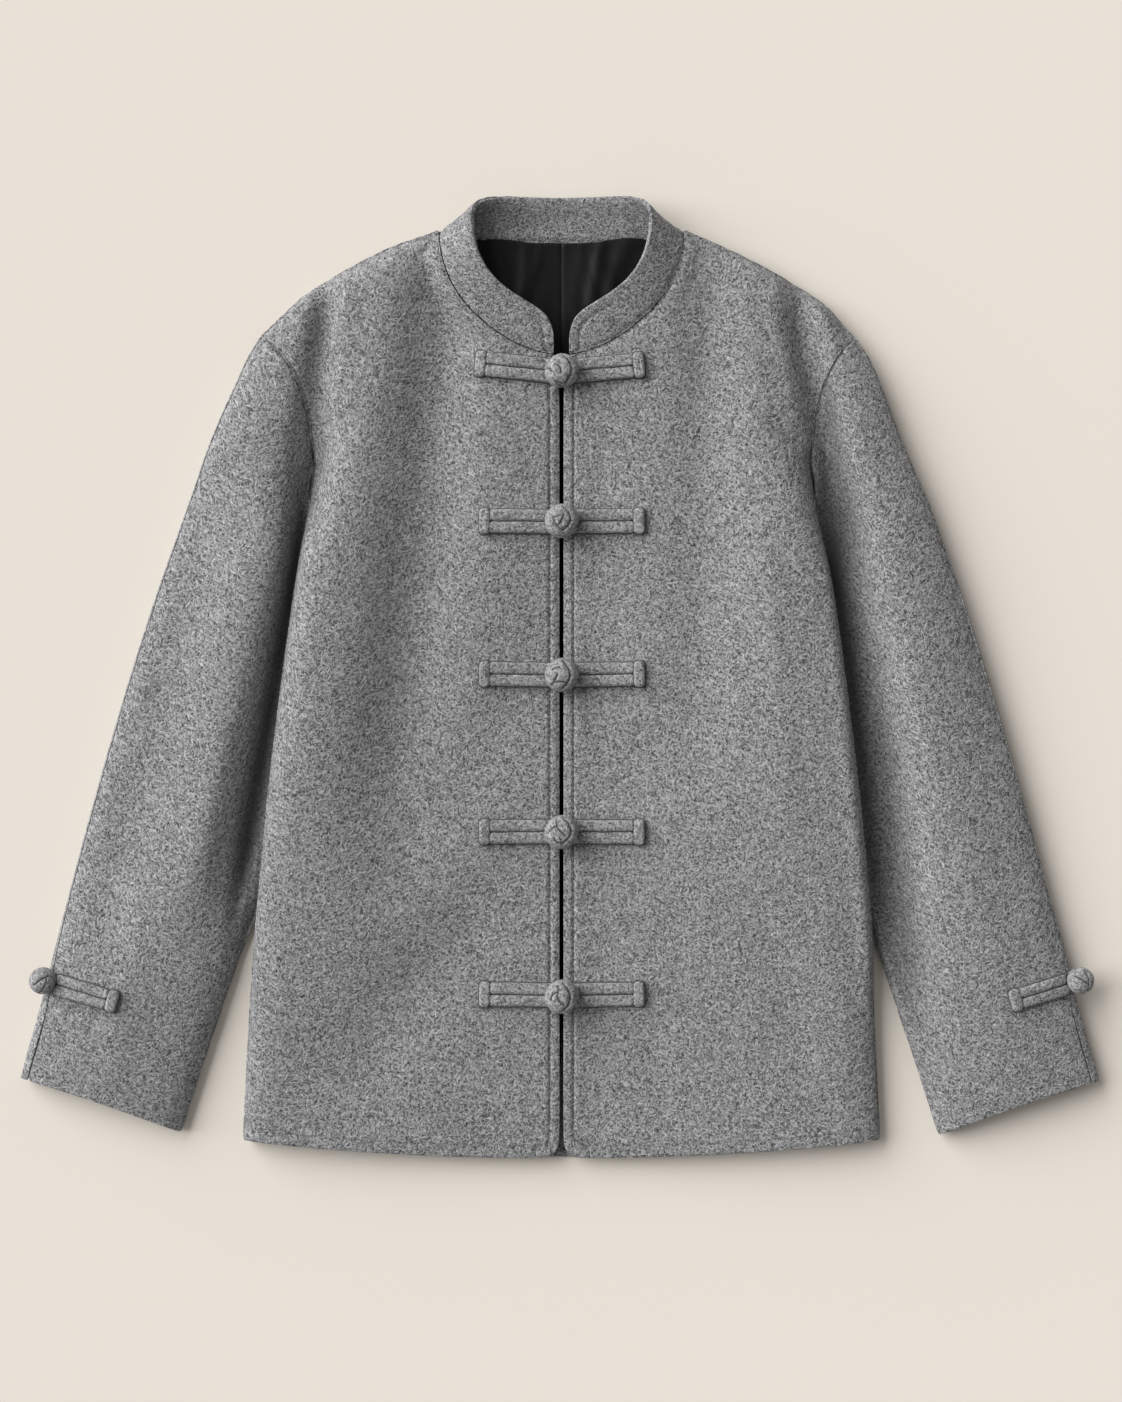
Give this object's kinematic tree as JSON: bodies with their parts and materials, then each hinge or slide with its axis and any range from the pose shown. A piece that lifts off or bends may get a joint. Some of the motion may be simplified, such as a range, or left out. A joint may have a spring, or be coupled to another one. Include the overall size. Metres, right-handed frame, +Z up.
{
  "type": "mandarin collar jacket",
  "caption": "Grey wool jacket with a stand collar, laid flat on its back, closed edge to edge by cloth ball frogs, with slit cuffs and a dark lining in the neck.",
  "frame": {"origin": "middle of the jacket's outline, on the surface it lies on", "axes": "+Z up out of the front, +X to the right across the front as seen from above, +Y towards the collar"},
  "size_m": [0.8092, 0.7246, 0.0447],
  "materials": {
    "wool": "napped heather melton wool",
    "frog": "the same wool, as wrapped cord",
    "lining": "soft satin"
  },
  "bodies": {
    "root": {"back": "wool", "collar": "wool", "front_left": "wool", "front_right": "wool", "lining_left": "lining", "lining_right": "lining", "sleeve_left_top": "wool", "sleeve_left_under": "wool", "sleeve_right_top": "wool", "sleeve_right_under": "wool", "frog_1_left": "frog", "frog_1_left_end": "frog", "frog_1_right": "frog", "frog_1_right_end": "frog", "frog_2_left": "frog", "frog_2_left_end": "frog", "frog_2_right": "frog", "frog_2_right_end": "frog", "frog_3_left": "frog", "frog_3_left_end": "frog", "frog_3_right": "frog", "frog_3_right_end": "frog", "frog_4_left": "frog", "frog_4_left_end": "frog", "frog_4_right": "frog", "frog_4_right_end": "frog", "frog_5_left": "frog", "frog_5_left_end": "frog", "frog_5_right": "frog", "frog_5_right_end": "frog", "cuff_left_strip": "frog", "cuff_left_end": "frog", "cuff_right_strip": "frog", "cuff_right_end": "frog", "frog_1_knot": "frog", "frog_2_knot": "frog", "frog_3_knot": "frog", "frog_4_knot": "frog", "frog_5_knot": "frog", "cuff_left_knot": "frog", "cuff_right_knot": "frog"}
  },
  "joints": []
}
